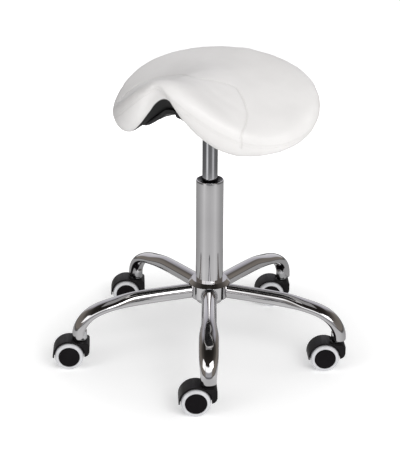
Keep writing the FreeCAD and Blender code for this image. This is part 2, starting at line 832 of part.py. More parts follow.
def build():
    keep("base_hub", make_hub())
    keep("column_tube", make_column())
    keep("guide_bush", make_bush())
    leg = make_leg()
    for i in range(leg_count):
        keep("leg_%d" % (i + 1), at_leg(leg, i))
    socket = moved(make_socket(), vec(stem_circle_r, 0, 0))
    keep("stem_sockets", Part.makeCompound([at_leg(socket, i) for i in range(leg_count)]))
    stem = moved(make_stem(), vec(stem_circle_r, 0, 0))
    keep("caster_stems", Part.makeCompound([at_leg(stem, i) for i in range(leg_count)]))
    hood = make_hood()
    axle = make_axle()
    core = make_wheel_core()
    tread = make_wheel_tread()
    for i in range(leg_count):
        keep("caster_hood_%d" % (i + 1), at_caster(hood, i))
        keep("caster_axle_%d" % (i + 1), at_caster(axle, i))
        for side, letter in ((-1, "a"), (1, "b")):
            keep("wheel_core_%d%s" % (i + 1, letter), at_caster(on_axle(core, side), i))
            keep("wheel_tread_%d%s" % (i + 1, letter), at_caster(on_axle(tread, side), i))
    keep("gas_cylinder", make_gas_cylinder())
    keep("rod_guide", make_rod_guide())
    keep("valve_body", make_valve_body())
    keep("valve_button", make_valve_button())
    keep("piston_rod", make_piston_rod())
    keep("rod_clip", make_rod_clip())
    keep("bearing_race_lower", race(column_bottom_z + column_floor, True))
    keep("bearing_race_upper", race(ball_level() + ball_r - 0.8, False))
    keep("bearing_balls", make_balls())
    keep("bump_stop", make_bump_stop())
    keep("seat_cover", make_cover())
    keep("seat_foam", make_foam())
    keep("seat_shell", make_shell())
    keep("shell_lining", make_lining())
    keep("seat_bracket", make_bracket())
    keep("seat_bolts", make_bolts())
    keep("lift_lever", make_lever())
    keep("lever_grip", make_grip())
    keep("lever_pin", lever_pin_shape(lever_pin_r))


build()
os.makedirs("parts", exist_ok=True)
for name, shape in NODES.items():
    shape.exportStep("parts/%s.step" % name)
    print(name, len(shape.Solids), "solids, valid", shape.isValid(), "volume", round(shape.Volume))
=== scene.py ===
import bpy
import math
from mathutils import Matrix, Vector
from mathutils.bvhtree import BVHTree
from mathutils.kdtree import KDTree
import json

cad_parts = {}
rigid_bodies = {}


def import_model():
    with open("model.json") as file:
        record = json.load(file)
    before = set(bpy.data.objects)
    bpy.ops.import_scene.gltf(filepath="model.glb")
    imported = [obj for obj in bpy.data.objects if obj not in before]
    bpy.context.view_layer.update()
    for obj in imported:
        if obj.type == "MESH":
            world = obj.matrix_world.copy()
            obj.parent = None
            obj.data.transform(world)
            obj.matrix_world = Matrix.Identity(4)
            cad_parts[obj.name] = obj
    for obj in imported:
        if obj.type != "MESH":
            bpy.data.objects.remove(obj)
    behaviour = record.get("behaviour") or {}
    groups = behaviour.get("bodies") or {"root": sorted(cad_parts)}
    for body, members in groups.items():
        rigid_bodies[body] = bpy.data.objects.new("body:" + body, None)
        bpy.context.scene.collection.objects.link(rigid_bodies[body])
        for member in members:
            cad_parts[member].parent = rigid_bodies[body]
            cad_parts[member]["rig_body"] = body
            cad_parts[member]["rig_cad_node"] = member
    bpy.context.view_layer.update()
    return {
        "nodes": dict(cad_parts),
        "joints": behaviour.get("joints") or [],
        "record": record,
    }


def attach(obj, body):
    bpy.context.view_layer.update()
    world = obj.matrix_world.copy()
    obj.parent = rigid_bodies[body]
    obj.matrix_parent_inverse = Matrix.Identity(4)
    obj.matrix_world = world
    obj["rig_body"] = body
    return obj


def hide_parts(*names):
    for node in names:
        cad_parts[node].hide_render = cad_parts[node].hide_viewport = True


mm = 0.001

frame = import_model()
nodes = frame["nodes"]
joints = {j["name"]: j for j in frame["joints"]}
casters = ["1", "2", "3", "4", "5"]
print("frame loaded,", len(nodes), "nodes")


# Small helpers

def selectNothing():
    if bpy.context.mode != "OBJECT":
        bpy.ops.object.mode_set(mode="OBJECT")
    bpy.ops.object.select_all(action="DESELECT")


def selectOnly(piece):
    selectNothing()
    piece.select_set(True)
    bpy.context.view_layer.objects.active = piece


def startEditing(piece):
    selectOnly(piece)
    bpy.ops.object.mode_set(mode="EDIT")
    bpy.ops.mesh.select_mode(type="VERT")


def finishEditing():
    bpy.ops.object.mode_set(mode="OBJECT")


def applyModifier(piece, kind, **settings):
    selectOnly(piece)
    modifier = piece.modifiers.new(kind.title(), kind)
    for name, value in settings.items():
        setattr(modifier, name, value)
    bpy.ops.object.modifier_apply(modifier=modifier.name)


def placePiece(piece, placement):
    selectOnly(piece)
    piece.matrix_world = placement
    bpy.ops.object.transform_apply(location=True, rotation=True, scale=True)


def copyPiece(piece, name):
    twin = piece.copy()
    twin.data = piece.data.copy()
    twin.name = name
    twin.data.name = name
    bpy.context.collection.objects.link(twin)
    return twin


def roundEdges(piece, width, degrees):
    applyModifier(piece, "BEVEL", width=width * mm, segments=2, limit_method="ANGLE",
                  angle_limit=math.radians(degrees))


def joinPieces(pieces):
    selectNothing()
    for piece in pieces:
        piece.select_set(True)
    bpy.context.view_layer.objects.active = pieces[0]
    bpy.ops.object.join()
    return pieces[0]


# A copy of a CAD node that has left its body, with its loose triangles merged
def mergedCopy(nodeName, name, nearness):
    piece = copyPiece(nodes[nodeName], name)
    piece.parent = None
    piece.matrix_world = Matrix.Identity(4)
    del piece["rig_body"]
    del piece["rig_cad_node"]
    startEditing(piece)
    bpy.ops.mesh.select_all(action="SELECT")
    bpy.ops.mesh.remove_doubles(threshold=nearness)
    bpy.ops.mesh.select_all(action="DESELECT")
    finishEditing()
    return piece


def smoothByAngle(piece, degrees):
    selectOnly(piece)
    bpy.ops.object.shade_smooth_by_angle(angle=math.radians(degrees))


def dressPiece(piece, material, slotName, body, *replaced):
    piece.data.materials.clear()
    piece.data.materials.append(material)
    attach(piece, body)
    if replaced:
        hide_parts(*replaced)
    return piece


def ease(t):
    t = min(max(t, 0.0), 1.0)
    return t * t * (3 - 2 * t)


# Points along a line of straight stretches, each a step further on
def evenPoints(line, step):
    points = [line[0].copy()]
    spare = 0.0
    for first, second in zip(line, line[1:]):
        length = (second - first).length
        along = step - spare
        while along <= length:
            points.append(first.lerp(second, along / length))
            along += step
        spare = length - (along - step)
    return points


# A curved stretch from the first point towards the second, led by the points on either side
def smoothBetween(before, first, second, after, count):
    points = []
    for k in range(count):
        t = k / count
        points.append(0.5 * ((2 * first) + (second - before) * t
                      + (2 * before - 5 * first + 4 * second - after) * t * t
                      + (3 * first - before - 3 * second + after) * t ** 3))
    return points


def surfaceOf(piece):
    vertices = [v.co.copy() for v in piece.data.vertices]
    faces = [list(f.vertices) for f in piece.data.polygons]
    return BVHTree.FromPolygons(vertices, faces)


def treeOf(points):
    tree = KDTree(len(points))
    for i, point in enumerate(points):
        tree.insert(point, i)
    tree.balance()
    return tree


# A turned piece from (radius, height) points in millimetres: a ring, extruded and resized to each next one
def turnPiece(name, outline, sides=96, edge=0.35, smooth=40):
    selectNothing()
    firstRadius, firstHeight = outline[0]
    bpy.ops.mesh.primitive_circle_add(vertices=sides, radius=firstRadius * mm,
                                      location=(0, 0, firstHeight * mm))
    piece = bpy.context.object
    piece.name = name
    bpy.ops.object.transform_apply(location=True, rotation=True, scale=True)
    startEditing(piece)
    bpy.ops.mesh.select_all(action="SELECT")
    if outline[0] != outline[-1]:
        bpy.ops.mesh.edge_face_add()
    for (radius, height), (nextRadius, nextHeight) in zip(outline, outline[1:]):
        bpy.ops.mesh.extrude_region_move(
            TRANSFORM_OT_translate={"value": (0, 0, (nextHeight - height) * mm)})
        widening = nextRadius / radius
        bpy.ops.transform.resize(value=(widening, widening, 1),
                                 center_override=(0, 0, nextHeight * mm))
    bpy.ops.mesh.select_all(action="SELECT")
    bpy.ops.mesh.remove_doubles(threshold=0.00001)
    bpy.ops.mesh.normals_make_consistent(inside=False)
    finishEditing()
    if edge:
        roundEdges(piece, edge, 35)
    smoothByAngle(piece, smooth)
    return piece


# Material helpers

def newSurface(name, **values):
    material = bpy.data.materials.new(name)
    material.use_nodes = True
    shader = material.node_tree.nodes["Principled BSDF"]
    for socket, value in values.items():
        shader.inputs[socket.replace("_", " ")].default_value = value
    return material, material.node_tree, shader


def addNode(tree, kind, **settings):
    node = tree.nodes.new("ShaderNode" + kind)
    for name, value in settings.items():
        setattr(node, name, value)
    return node


def objectPosition(tree):
    return addNode(tree, "TexCoord").outputs["Object"]


# One noise for every finish: Mask varies the colour or gloss, Bump is a normal
def makeGrainGroup():
    group = bpy.data.node_groups.new("fineGrain", "ShaderNodeTree")
    group.interface.new_socket("Position", in_out="INPUT", socket_type="NodeSocketVector")
    for name, value in (("Scale", 400.0), ("Depth", 0.2), ("Spread", 20.0)):
        socket = group.interface.new_socket(name, in_out="INPUT", socket_type="NodeSocketFloat")
        socket.default_value = value
    group.interface.new_socket("Mask", in_out="OUTPUT", socket_type="NodeSocketFloat")
    group.interface.new_socket("Bump", in_out="OUTPUT", socket_type="NodeSocketVector")
    source = group.nodes.new("NodeGroupInput")
    target = group.nodes.new("NodeGroupOutput")
    fine = addNode(group, "TexNoise")
    fine.inputs["Detail"].default_value = 6
    broad = addNode(group, "TexNoise")
    broad.inputs["Detail"].default_value = 3
    bump = addNode(group, "Bump")
    bump.inputs["Distance"].default_value = 0.0002
    for noise, size in ((fine, "Scale"), (broad, "Spread")):
        group.links.new(source.outputs["Position"], noise.inputs["Vector"])
        group.links.new(source.outputs[size], noise.inputs["Scale"])
    group.links.new(fine.outputs["Fac"], bump.inputs["Height"])
    group.links.new(source.outputs["Depth"], bump.inputs["Strength"])
    group.links.new(broad.outputs["Fac"], target.inputs["Mask"])
    group.links.new(bump.outputs["Normal"], target.inputs["Bump"])
    return group


fineGrain = makeGrainGroup()


def addGrain(tree, scale, depth, spread):
    grain = addNode(tree, "Group", node_tree=fineGrain)
    tree.links.new(objectPosition(tree), grain.inputs["Position"])
    grain.inputs["Scale"].default_value = scale
    grain.inputs["Depth"].default_value = depth
    grain.inputs["Spread"].default_value = spread
    return grain


def spanBetween(tree, value, low, high, start=0.0, end=1.0, shape="LINEAR"):
    span = addNode(tree, "MapRange", interpolation_type=shape)
    for socket, number in (("From Min", low), ("From Max", high), ("To Min", start), ("To Max", end)):
        span.inputs[socket].default_value = number
    tree.links.new(value, span.inputs["Value"])
    return span.outputs["Result"]


def easeBetween(tree, value, low, high, start=0.0, end=1.0):
    return spanBetween(tree, value, low, high, start, end, "SMOOTHSTEP")


def blendColours(tree, share, first, second):
    mix = addNode(tree, "Mix", data_type="RGBA")
    tree.links.new(share, mix.inputs["Factor"])
    for name, source in (("A", first), ("B", second)):
        if isinstance(source, tuple):
            mix.inputs[name].default_value = (*source, 1)
        else:
            tree.links.new(source, mix.inputs[name])
    return mix.outputs["Result"]


# A noise keeps near its middle, so its mask is spread from 0.35 to 0.65
def spreadBetween(tree, mask, low, high):
    return spanBetween(tree, mask, 0.35, 0.65, low, high)


def spreadColour(tree, mask, first, second):
    return blendColours(tree, spreadBetween(tree, mask, 0, 1), first, second)


def grainySurface(name, colours, roughness, scale, depth, spread=20.0, **values):
    material, tree, shader = newSurface(name, **values)
    grain = addGrain(tree, scale, depth, spread)
    tree.links.new(spreadColour(tree, grain.outputs["Mask"], *colours), shader.inputs["Base Color"])
    tree.links.new(spreadBetween(tree, grain.outputs["Mask"], *roughness), shader.inputs["Roughness"])
    tree.links.new(grain.outputs["Bump"], shader.inputs["Normal"])
    return material


# Materials

# each finish: two colours, two values of roughness, then the size, depth and spread of its grain
finishes = {
    "base_chrome": grainySurface("polishedChrome", ((0.60, 0.592, 0.60), (0.53, 0.522, 0.53)),
                                 (0.04, 0.075), 900, 0.02, 9, Metallic=1.0),
    "stem_chrome": grainySurface("stemPlating", ((0.62, 0.62, 0.63), (0.54, 0.54, 0.55)),
                                 (0.10, 0.18), 1400, 0.05, 60, Metallic=1.0),
    "tube_chrome": grainySurface("gasTubeChrome", ((0.56, 0.56, 0.58), (0.50, 0.50, 0.52)),
                                 (0.07, 0.12), 900, 0.03, 30, Metallic=1.0),
    "steel": grainySurface("brightSteel", ((0.56, 0.57, 0.59), (0.44, 0.44, 0.46)),
                           (0.24, 0.38), 1600, 0.12, 90, Metallic=1.0),
    "valve_aluminium": grainySurface("turnedAluminium", ((0.72, 0.72, 0.74), (0.62, 0.62, 0.64)),
                                     (0.28, 0.42), 1800, 0.1, 80, Metallic=1.0),
    "bush_black": grainySurface("bushBlack", ((0.005, 0.005, 0.006), (0.008, 0.008, 0.009)),
                                (0.16, 0.24), 1200, 0.04, 50, Specular_IOR_Level=0.25),
    "hood_black": grainySurface("hoodBlack", ((0.006, 0.005, 0.006), (0.010, 0.009, 0.010)),
                                (0.36, 0.48), 2600, 0.3, 35, Specular_IOR_Level=0.14),
    "cap_black": grainySurface("capBlack", ((0.004, 0.003, 0.004), (0.006, 0.005, 0.006)),
                               (0.10, 0.16), 1500, 0.03, 40, Specular_IOR_Level=0.1),
    "tread_grey": grainySurface("treadGrey", ((0.66, 0.66, 0.68), (0.58, 0.58, 0.60)),
                                (0.48, 0.62), 2200, 0.2, 70),
    "inner_plastic": grainySurface("naturalPlastic", ((0.72, 0.71, 0.67), (0.66, 0.65, 0.61)),
                                   (0.4, 0.55), 1500, 0.15, 60),
    "bump_rubber": grainySurface("bumpRubber", ((0.03, 0.03, 0.03), (0.045, 0.045, 0.045)),
                                 (0.6, 0.8), 1800, 0.3, 60),
    "seat_foam": grainySurface("paddingFoam", ((0.80, 0.72, 0.50), (0.74, 0.65, 0.43)),
                               (0.8, 0.95), 900, 0.8, 40),
    "shell_black": grainySurface("shellBlack", ((0.010, 0.010, 0.011), (0.018, 0.018, 0.019)),
                                 (0.45, 0.6), 1400, 0.35, 30),
    "bracket_black": grainySurface("bracketPowderCoat", ((0.016, 0.016, 0.017), (0.026, 0.026, 0.028)),
                                   (0.38, 0.52), 2400, 0.5, 40),
    "grip_black": grainySurface("gripBlack", ((0.014, 0.014, 0.015), (0.022, 0.022, 0.023)),
                                (0.4, 0.55), 2000, 0.4, 45),
}


liningFinish = {
    "colours": ((0.010, 0.010, 0.010), (0.020, 0.019, 0.019)), "roughness": (0.75, 0.92), "sheen": 0.2,
    "threads": 320, "threadDepth": 0.5, "threadHeight": 0.0003,
}


# The normal of woven cloth, from two crossing waves
def wovenNormal(tree, look):
    crossing = []
    for direction in ("X", "Y"):
        wave = addNode(tree, "TexWave", bands_direction=direction)
        wave.inputs["Scale"].default_value = look["threads"]
        tree.links.new(objectPosition(tree), wave.inputs["Vector"])
        crossing.append(wave.outputs["Fac"])
    weave = addNode(tree, "Math", operation="MAXIMUM")
    tree.links.new(crossing[0], weave.inputs[0])
    tree.links.new(crossing[1], weave.inputs[1])
    bump = addNode(tree, "Bump")
    bump.inputs["Strength"].default_value = look["threadDepth"]
    bump.inputs["Distance"].default_value = look["threadHeight"]
    tree.links.new(weave.outputs["Value"], bump.inputs["Height"])
    return bump.outputs["Normal"]


# Thin black cloth under the shell
def makeLining(look):
    material, tree, shader = newSurface("wovenLining", Sheen_Weight=look["sheen"])
    mask = addGrain(tree, 700, 0.2, 30).outputs["Mask"]
    tree.links.new(spreadColour(tree, mask, *look["colours"]), shader.inputs["Base Color"])
    tree.links.new(spreadBetween(tree, mask, *look["roughness"]), shader.inputs["Roughness"])
    tree.links.new(wovenNormal(tree, look), shader.inputs["Normal"])
    return material


# the darker seam colour is painted shade, laid along the pressed-in seam lines
leatherFinish = {
    "top": (0.86, 0.845, 0.835), "worn": (0.82, 0.805, 0.795),
    "roughness": (0.40, 0.52), "gloss": 0.4, "coat": 0.08, "coatRoughness": 0.35,
    "poreScale": 620, "poreDepth": 0.16, "poreHeight": 0.00015,
    "crease": (0.60, 0.575, 0.56), "lining": (0.012, 0.012, 0.012), "liningRoughness": 0.9,
    "liningFrom": (0.48, 0.52),
}


# White leather above and black lining below, told apart by the attribute "under"; a second attribute darkens
# the seams with painted shade
def makeLeather(look):
    material, tree, shader = newSurface("whiteLeather", Specular_IOR_Level=look["gloss"],
                                        Coat_Weight=look["coat"], Coat_Roughness=look["coatRoughness"])
    grain = addGrain(tree, 260, 0.05, 14)
    white = spreadColour(tree, grain.outputs["Mask"], look["top"], look["worn"])

    # painted shade along the seams, read from a point attribute, darkens the white leather
    crease = addNode(tree, "Attribute", attribute_name="crease").outputs["Fac"]
    under = addNode(tree, "Attribute", attribute_name="under").outputs["Fac"]
    isLining = spanBetween(tree, under, *look["liningFrom"])
    withSeamShade = blendColours(tree, crease, white, look["crease"])
    tree.links.new(blendColours(tree, isLining, withSeamShade, look["lining"]), shader.inputs["Base Color"])

    rough = addNode(tree, "Mix")
    rough.inputs["B"].default_value = look["liningRoughness"]
    tree.links.new(isLining, rough.inputs["Factor"])
    tree.links.new(spreadBetween(tree, grain.outputs["Mask"], *look["roughness"]), rough.inputs["A"])
    tree.links.new(rough.outputs["Result"], shader.inputs["Roughness"])

    pores = addNode(tree, "TexVoronoi", feature="DISTANCE_TO_EDGE")
    pores.inputs["Scale"].default_value = look["poreScale"]
    tree.links.new(objectPosition(tree), pores.inputs["Vector"])
    leatherBump = addNode(tree, "Bump")
    leatherBump.inputs["Strength"].default_value = look["poreDepth"]
    leatherBump.inputs["Distance"].default_value = look["poreHeight"]
    tree.links.new(pores.outputs["Distance"], leatherBump.inputs["Height"])
    tree.links.new(grain.outputs["Bump"], leatherBump.inputs["Normal"])
    tree.links.new(leatherBump.outputs["Normal"], shader.inputs["Normal"])
    return material


finishes["lining_black"] = makeLining(liningFinish)
finishes["seat_leather"] = makeLeather(leatherFinish)
threadFinish = grainySurface("whiteThread", ((0.80, 0.785, 0.775), (0.70, 0.685, 0.675)),
                             (0.55, 0.7), 4000, 0.6, 300)
print("materials made,", len(finishes))


# Seat

seat = {
    "mergeWithin": 0.02, "voxel": 4.6,                           # the foam's mesh, merged and remeshed
    "smoothing": 4, "laterSmoothing": 3,                         # rounds of smoothing
    "thickness": 3.8,                                            # the leather stands this far over the foam
    "archLift": 20.0, "archWidth": 42.0, "archSide": -8.0,       # the front edge is thin over the ridge
    "archFrom": 110.0, "archTo": 146.0,                          # from here forward
    "lobeDrop": 6.0, "lobeSide": 100.0, "lobeWidth": 42.0,       # and full at its two lower corners
    "lobeFrom": 40.0, "lobeReach": 60.0,
    "upward": 0.55, "upwardSpan": 1.1,                           # faces that look up more than this stay
    "pressure": 3.0, "frames": 12, "swell": 1.6,                 # the stuffing
    "stretch": 40, "shear": 30, "bending": 8,                    # and how the leather resists it
    "middle": -11.5, "rimPoints": 180, "rimSmoothing": 6,        # the pad's middle on Y, and its rim
    "wrap": 22.0, "wrapSpan": 40.0, "underFrom": -0.1,           # how far the leather turns in below
    "seamDepth": 0.7, "seamWidth": 1.5, "puffDepth": 0.6, "puffWidth": 7.0,
    # how dark and how narrow the painted shade along the seams is
    "creaseShade": 0.45, "creaseWidth": 0.9,
    "seamStep": 0.5, "seamReach": 7.0,                           # points on a seam, closer faces beside it
    "rimSeamShare": 0.35, "rimSeamDrop": 4.0, "tailPoints": 12, "tailStep": 2.0,
    "stitchLength": 3.0, "stitchEnd": 0.15, "stitchPitch": 4.2, "stitchRadius": 0.32, "stitchGap": 2.4,
    "stitchDip": 0.15, "stitchLift": 0.05,
    "fill": 0.9,
}
# the front seam seen from above, millimetres, from the left edge over the ridge to the right edge
frontSeam = [(-150, -64), (-152, -44), (-142, -23), (-122, -11), (-100, -10), (-61, -20), (-38, -30),
             (-20, -43), (0, -50), (20, -43), (38, -29), (63, -20), (84, -33), (99, -46), (115, -64),
             (125, -86), (129, -104)]


def makePad():
    pad = mergedCopy("seat_foam", "seatLeather", seat["mergeWithin"] * mm)
    applyModifier(pad, "REMESH", mode="VOXEL", voxel_size=seat["voxel"] * mm)
    applyModifier(pad, "SMOOTH", factor=0.5, iterations=seat["smoothing"])
    shapeFront(pad)
    applyModifier(pad, "SMOOTH", factor=0.5, iterations=seat["laterSmoothing"])
    return pad


# Thins the front edge over the ridge and fills the two lower corners beside it
def shapeFront(pad):
    lower = [ease((seat["upward"] - v.normal.z) / seat["upwardSpan"]) for v in pad.data.vertices]
    for vertex, share in zip(pad.data.vertices, lower):
        x, y, z = vertex.co / mm
        front = ease((-y - seat["archFrom"]) / (seat["archTo"] - seat["archFrom"]))
        arch = math.exp(-((x - seat["archSide"]) / seat["archWidth"]) ** 2)
        lobe = math.exp(-((abs(x) - seat["lobeSide"]) / seat["lobeWidth"]) ** 2)
        wide = ease((-y - seat["lobeFrom"]) / seat["lobeReach"])
        vertex.co.z += (seat["archLift"] * arch * front - seat["lobeDrop"] * lobe * wide) * share * mm
    pad.data.update()


# The stuffed pad presses the leather out, never further than the swell
def stuffPad(pad):
    before = [v.co.copy() for v in pad.data.vertices]
    selectOnly(pad)
    cloth = pad.modifiers.new("Cloth", "CLOTH")
    cloth.settings.use_pressure = True
    cloth.settings.uniform_pressure_force = seat["pressure"]
    cloth.settings.tension_stiffness = seat["stretch"]
    cloth.settings.compression_stiffness = seat["stretch"]
    cloth.settings.shear_stiffness = seat["shear"]
    cloth.settings.bending_stiffness = seat["bending"]
    cloth.settings.effector_weights.gravity = 0
    cloth.point_cache.frame_start = 1
    cloth.point_cache.frame_end = seat["frames"]
    for step in range(1, seat["frames"] + 1):
        bpy.context.scene.frame_set(step)
    bpy.ops.object.modifier_apply(modifier=cloth.name)
    bpy.context.scene.frame_set(1)
    spare = seat["thickness"] - seat["swell"]
    normals = [v.normal.copy() for v in pad.data.vertices]
    for vertex, start, normal in zip(pad.data.vertices, before, normals):
        moved = vertex.co - start
        if moved.length > seat["swell"] * mm:
            moved = moved.normalized() * seat["swell"] * mm
        vertex.co = start + moved + normal * spare * mm
    pad.data.update()
    applyModifier(pad, "SMOOTH", factor=0.5, iterations=seat["smoothing"])
    applyModifier(pad, "SUBSURF", levels=1, render_levels=1)


# Outermost line of the pad all round, as points on its rim
def findRim(pad):
    count = seat["rimPoints"]
    centre = Vector((0, seat["middle"] * mm, 0))
    outermost = [None] * count
    for vertex in pad.data.vertices:
        flat = Vector((vertex.co.x, vertex.co.y, 0)) - centre
        place = int((math.atan2(flat.y, flat.x) / math.tau + 0.5) * count) % count
        if outermost[place] is None or flat.length > outermost[place][0]:
            outermost[place] = (flat.length, vertex.co.copy())
    rim = [found[1] for found in outermost if found]
    for repeat in range(seat["rimSmoothing"]):
        rim = [(rim[i - 1] + rim[i] * 2 + rim[(i + 1) % len(rim)]) / 4 for i in range(len(rim))]
    return rim


# The seam runs on over the edge, straight down the leather
def followDown(surface, point):
    tail = []
    for step in range(seat["tailPoints"]):
        hit, normal, face, distance = surface.find_nearest(point)
        down = Vector((0, 0, -1))
        down -= normal * down.dot(normal)
        point, normal, face, distance = surface.find_nearest(hit + down.normalized() * seat["tailStep"] * mm)
        tail.append(point)
    return tail


# Smooth line through the seam's points, dropped from above onto the pad
def layFrontSeam(surface):
    flat = [Vector((x * mm, y * mm, 0)) for x, y in frontSeam]
    curve = []
    for i in range(len(flat) - 1):
        curve += smoothBetween(flat[max(i - 1, 0)], flat[i], flat[i + 1], flat[min(i + 2, len(flat) - 1)], 8)
    curve.append(flat[-1])
    laid = []
    for point in curve:
        hit, normal, face, distance = surface.ray_cast(Vector((point.x, point.y, 1.0)), Vector((0, 0, -1)))
        if hit is not None:
            laid.append(hit)
    return followDown(surface, laid[0])[::-1] + laid + followDown(surface, laid[-1])


def layRimSeam(surface, rim):
    laid = []
    for point in rim + rim[:1]:
        hit, normal, face, distance = surface.find_nearest(point - Vector((0, 0, seat["rimSeamDrop"] * mm)))
        laid.append(hit)
    return laid


# Closer faces beside the seams, so that the crease has room in the mesh
def refineAlong(pad, tree):
    startEditing(pad)
    bpy.ops.mesh.select_all(action="DESELECT")
    finishEditing()
    for face in pad.data.polygons:
        face.select = tree.find(face.center)[2] < seat["seamReach"] * mm
    bpy.ops.object.mode_set(mode="EDIT")
    bpy.ops.mesh.select_mode(type="FACE")
    bpy.ops.mesh.subdivide(number_cuts=1, smoothness=0)
    bpy.ops.mesh.select_mode(type="VERT")
    finishEditing()


# Presses the leather in along the seams, and marks how dark the painted shade in each crease is
def pressSeams(pad, frontTree, rimTree):
    crease = pad.data.attributes.new("crease", "FLOAT", "POINT")
    values = []
    normals = [v.normal.copy() for v in pad.data.vertices]
    for vertex, normal in zip(pad.data.vertices, normals):
        depth, mark = 0.0, 0.0
        for tree, share in ((frontTree, 1.0), (rimTree, seat["rimSeamShare"])):
            away = tree.find(vertex.co)[2] / mm
            line = math.exp(-(away / seat["seamWidth"]) ** 2)
            dip = math.exp(-(away / seat["puffWidth"]) ** 2)
            depth = max(depth, share * (seat["seamDepth"] * line + seat["puffDepth"] * dip))
            mark = max(mark, share * seat["creaseShade"] * math.exp(-(away / seat["creaseWidth"]) ** 2))
        vertex.co -= normal * depth * mm
        values.append(mark)
    crease.data.foreach_set("value", values)
    pad.data.update()


# How far each point is in under the pad, 0.5 where leather meets lining
def markUnderside(pad, rim):
    tree = treeOf([(point.x, point.y, 0) for point in rim])
    under = pad.data.attributes.new("under", "FLOAT", "POINT")
    values = []
    for vertex in pad.data.vertices:
        inward = tree.find((vertex.co.x, vertex.co.y, 0))[2] / mm
        below = -vertex.normal.z > seat["underFrom"]
        values.append(0.5 + (inward - seat["wrap"]) / seat["wrapSpan"] if below else 0.0)
    under.data.foreach_set("value", [min(max(v, 0), 1) for v in values])


# One stitch along X: a straight middle, and two ends that narrow and dip into the leather
def makeStitch():
    selectNothing()
    straight = seat["stitchLength"] * (1 - 2 * seat["stitchEnd"])
    bpy.ops.mesh.primitive_cylinder_add(vertices=6, radius=seat["stitchRadius"] * mm,
                                        depth=straight * mm, rotation=(0, math.pi / 2, 0))
    stitch = bpy.context.object
    bpy.ops.object.transform_apply(location=True, rotation=True, scale=True)
    startEditing(stitch)
    bpy.ops.mesh.select_all(action="DESELECT")
    finishEditing()
    for end in (-1, 1):
        for face in stitch.data.polygons:
            face.select = face.normal.x * end > 0.9
        bpy.ops.object.mode_set(mode="EDIT")
        bpy.ops.mesh.select_mode(type="FACE")
        bpy.ops.mesh.extrude_region_move(
            TRANSFORM_OT_translate={"value": (end * seat["stitchLength"] * seat["stitchEnd"] * mm, 0,
                                              -seat["stitchDip"] * mm)})
        bpy.ops.transform.resize(value=(1, 0.5, 0.5))
        bpy.ops.mesh.select_all(action="DESELECT")
        finishEditing()
    return stitch


# Where the stitches go along one side of a seam
def sewAlong(line, surface, side):
    points = evenPoints(line, seat["stitchPitch"] * mm)
    made = []
    for first, second in zip(points, points[1:]):
        middle = (first + second) / 2
        hit, normal, face, distance = surface.find_nearest(middle)
        run = (second - first).normalized()
        across = normal.cross(run).normalized()
        hit, normal, face, distance = surface.find_nearest(hit + across * side * seat["stitchGap"] * mm)
        across = normal.cross(run).normalized()
        run = across.cross(normal)
        turn = Matrix((run, across, normal)).transposed().to_4x4()
        made.append(Matrix.Translation(hit + normal * seat["stitchLift"] * mm) @ turn)
    return made


def joinStitches(name, pattern, placements):
    twins = []
    for placement in placements:
        twin = copyPiece(pattern, name)
        twin.data.transform(placement)
        twins.append(twin)
    thread = joinPieces(twins)
    smoothByAngle(thread, 60)
    return thread


pad = makePad()
stuffPad(pad)
rim = findRim(pad)
padSurface = surfaceOf(pad)
frontLine = layFrontSeam(padSurface)
rimLine = layRimSeam(padSurface, rim)
frontPoints = evenPoints(frontLine, seat["seamStep"] * mm)
rimPoints = evenPoints(rimLine, seat["seamStep"] * mm)
refineAlong(pad, treeOf(frontPoints + rimPoints))
pressSeams(pad, treeOf(frontPoints), treeOf(rimPoints))
markUnderside(pad, rim)
smoothByAngle(pad, 80)
dressPiece(pad, finishes["seat_leather"], "seat_leather", "seat", "seat_foam", "seat_cover")
print("leather laid,", len(pad.data.polygons), "faces")

stitch = makeStitch()
leatherSurface = surfaceOf(pad)
for name, line in (("frontSeamThread", frontLine), ("rimSeamThread", rimLine)):
    placements = sewAlong(line, leatherSurface, -1) + sewAlong(line, leatherSurface, 1)
    thread = joinStitches(name, stitch, placements)
    dressPiece(thread, threadFinish, "seat_leather", "seat")
bpy.data.objects.remove(stitch)
print("seams sewn")


# Column, hub and gas spring

# "low" and "high" are rings near the ends of a long wall, which keep its shading straight
column = {
    "radius": 25.0, "wall": 2.0, "top": 336.0, "bottom": 98.0, "foot": 23.6, "taperTop": 143.0, "edge": 0.4,
    "narrowing": 0.6, "low": 2.5, "high": 3.0,
}
hub = {
    "radius": 39.0, "top": 143.0, "bottom": 109.0, "chamfer": 7.0, "fit": 0.03, "narrowing": 1.2, "edge": 0.4,
    "recess": 2.0, "recessDepth": 16.0, "recessMiddle": 41.2,
}
bush = {"top": 335.2, "length": 82.0, "bore": 14.05, "fit": 0.05, "dish": 3.5, "lip": 1.6, "mouth": 1.2}
gasTube = {
    "radius": 14.0, "wall": 2.0, "bottom": 206.0, "top": 445.0, "taperStart": 409.0, "topRadius": 13.4,
    "edge": 0.8, "topEdge": 1.0, "lid": 2.0, "low": 4.0, "high": 3.0,
}
legTube = {
    "radius": 13.5, "wall": 2.0, "flatWidth": 35.0, "flatHeight": 20.5, "endWidth": 28.0, "endDepth": 23.0,
    "root": 8.0, "startHeight": 121.5, "roundUntil": 140.0, "flatFrom": 190.0, "narrowFrom": 108.0,
    "endHeight": 57.4, "endRadius": 246.8, "openFrom": 209.0, "openHeight": 94.0, "openMargin": 6.0,
    "lip": 11.0, "edge": 0.5, "sides": 48, "ringStep": 3.4,
}
# the leg's line from the hub: lengths in millimetres and how far down each points, in degrees
legLine = [(76, 0.8), (38, 3), (30, 8), (25, 13), (17, 23), (13, 36), (12, 49), (11, 62), (9, 75), (9.5, 88)]


